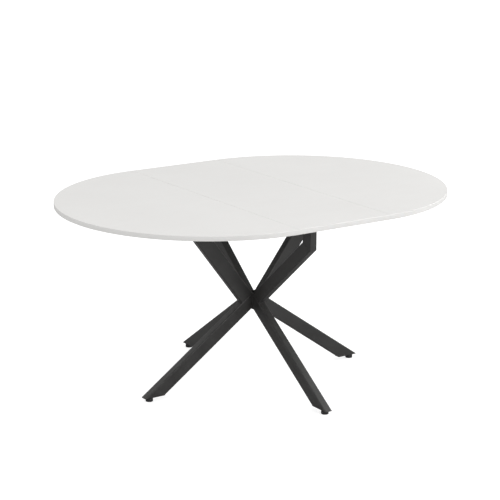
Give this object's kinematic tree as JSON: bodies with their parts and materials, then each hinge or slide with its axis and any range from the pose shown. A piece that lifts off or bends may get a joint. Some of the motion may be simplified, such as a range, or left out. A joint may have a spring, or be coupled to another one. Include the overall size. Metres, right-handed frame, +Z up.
{
  "type": "extendable dining table",
  "caption": "Round pedestal dining table whose halves slide apart on geared rails for a lift-out centre leaf, on a crossed tube base.",
  "frame": {"origin": "on the floor, under the centre of the top", "axes": "+X along the extension, towards the right half; +Z up"},
  "size_m": [1.5498, 1.15, 0.745],
  "materials": {
    "white_lacquer": "smooth satin white lacquer on a wood-based panel",
    "black_powder_coat": "fine-texture matt powder coat",
    "rail_aluminium": "natural anodised",
    "black_plastic": "moulded matt plastic",
    "gear_nylon": "moulded natural nylon",
    "grey_felt": "needled felt",
    "zinc_plate": "zinc-plated pressed steel",
    "fastener_steel": "zinc-plated steel"
  },
  "bodies": {
    "base": {"rail_front": "rail_aluminium", "rail_back": "rail_aluminium", "rail_bolts": "fastener_steel", "leaf_pads": "grey_felt", "cross_bar_center": "black_powder_coat", "cross_bar_right": "black_powder_coat", "cross_bar_left": "black_powder_coat", "bar_end_caps": "black_plastic", "post_right": "black_powder_coat", "post_back": "black_powder_coat", "post_left": "black_powder_coat", "post_front": "black_powder_coat", "post_plates": "black_powder_coat", "post_bolts": "fastener_steel", "post_nuts": "fastener_steel", "arm_right": "black_powder_coat", "arm_back": "black_powder_coat", "arm_left": "black_powder_coat", "arm_front": "black_powder_coat", "leg_right": "black_powder_coat", "leg_back": "black_powder_coat", "leg_left": "black_powder_coat", "leg_front": "black_powder_coat", "hub": "black_powder_coat", "hub_bolts": "fastener_steel", "foot_plates": "black_powder_coat", "foot_nuts": "fastener_steel", "pinion_axle": "fastener_steel", "axle_nut": "fastener_steel", "gear_bracket": "zinc_plate", "bracket_screws": "fastener_steel"},
    "right_top": {"top_right": "white_lacquer", "runner_right_front": "rail_aluminium", "runner_right_back": "rail_aluminium", "runner_screws_right": "fastener_steel", "rack_right": "gear_nylon", "rack_screws_right": "fastener_steel", "latch_plates_right": "zinc_plate", "latch_pivots_right": "fastener_steel", "latch_screws_right": "fastener_steel"},
    "left_top": {"top_left": "white_lacquer", "runner_left_front": "rail_aluminium", "runner_left_back": "rail_aluminium", "runner_screws_left": "fastener_steel", "rack_left": "gear_nylon", "rack_screws_left": "fastener_steel", "latch_plates_left": "zinc_plate", "latch_pivots_left": "fastener_steel", "latch_screws_left": "fastener_steel"},
    "centre_leaf": {"leaf": "white_lacquer", "leaf_studs": "fastener_steel"},
    "drive_pinion": {"pinion": "gear_nylon"},
    "foot_right": {"leveller_right": "black_plastic"},
    "foot_back": {"leveller_back": "black_plastic"},
    "foot_left": {"leveller_left": "black_plastic"},
    "foot_front": {"leveller_front": "black_plastic"},
    "hook_right_back": {"latch_right_back": "zinc_plate"},
    "hook_right_front": {"latch_right_front": "zinc_plate"},
    "hook_left_front": {"latch_left_front": "zinc_plate"},
    "hook_left_back": {"latch_left_back": "zinc_plate"}
  },
  "joints": [
    {"name": "right_top_slide", "type": "slide", "parent": "base", "child": "right_top", "axis": [-1, 0, 0], "range_m": [0, 0.1997]},
    {"name": "left_top_slide", "type": "slide", "parent": "base", "child": "left_top", "axis": [1, 0, 0], "range_m": [0, 0.1998]},
    {"name": "leaf_lift", "type": "slide", "parent": "base", "child": "centre_leaf", "axis": [0, 0, 1], "range_m": [0, 0.6]},
    {"name": "pinion_spin", "type": "hinge", "parent": "base", "child": "drive_pinion", "pos_m": [0, 0, 0.701], "axis": [0, 0, 1], "range_deg": [-573, 1]},
    {"name": "foot_right_screw", "type": "slide", "parent": "base", "child": "foot_right", "axis": [0, 0, -1], "range_m": [0, 0.008]},
    {"name": "foot_back_screw", "type": "slide", "parent": "base", "child": "foot_back", "axis": [0, 0, -1], "range_m": [0, 0.008]},
    {"name": "foot_left_screw", "type": "slide", "parent": "base", "child": "foot_left", "axis": [0, 0, -1], "range_m": [0, 0.008]},
    {"name": "foot_front_screw", "type": "slide", "parent": "base", "child": "foot_front", "axis": [0, 0, -1], "range_m": [0, 0.008]},
    {"name": "hook_right_back_swing", "type": "hinge", "parent": "right_top", "child": "hook_right_back", "pos_m": [0.222, 0.42, 0.7215], "axis": [0, 0, -1], "range_deg": [0, 80]},
    {"name": "hook_right_front_swing", "type": "hinge", "parent": "right_top", "child": "hook_right_front", "pos_m": [0.222, -0.32, 0.7215], "axis": [0, 0, 1], "range_deg": [0, 80]},
    {"name": "hook_left_front_swing", "type": "hinge", "parent": "left_top", "child": "hook_left_front", "pos_m": [-0.222, -0.42, 0.7215], "axis": [0, 0, -1], "range_deg": [0, 80]},
    {"name": "hook_left_back_swing", "type": "hinge", "parent": "left_top", "child": "hook_left_back", "pos_m": [-0.222, 0.32, 0.7215], "axis": [0, 0, 1], "range_deg": [0, 80]}
  ],
  "couplings": [
    {"joint": "left_top_slide", "follows": "right_top_slide", "ratio": 1},
    {"joint": "leaf_lift", "follows": "right_top_slide", "ratio": 3},
    {"joint": "pinion_spin", "follows": "right_top_slide", "rad_per_m": -50}
  ]
}
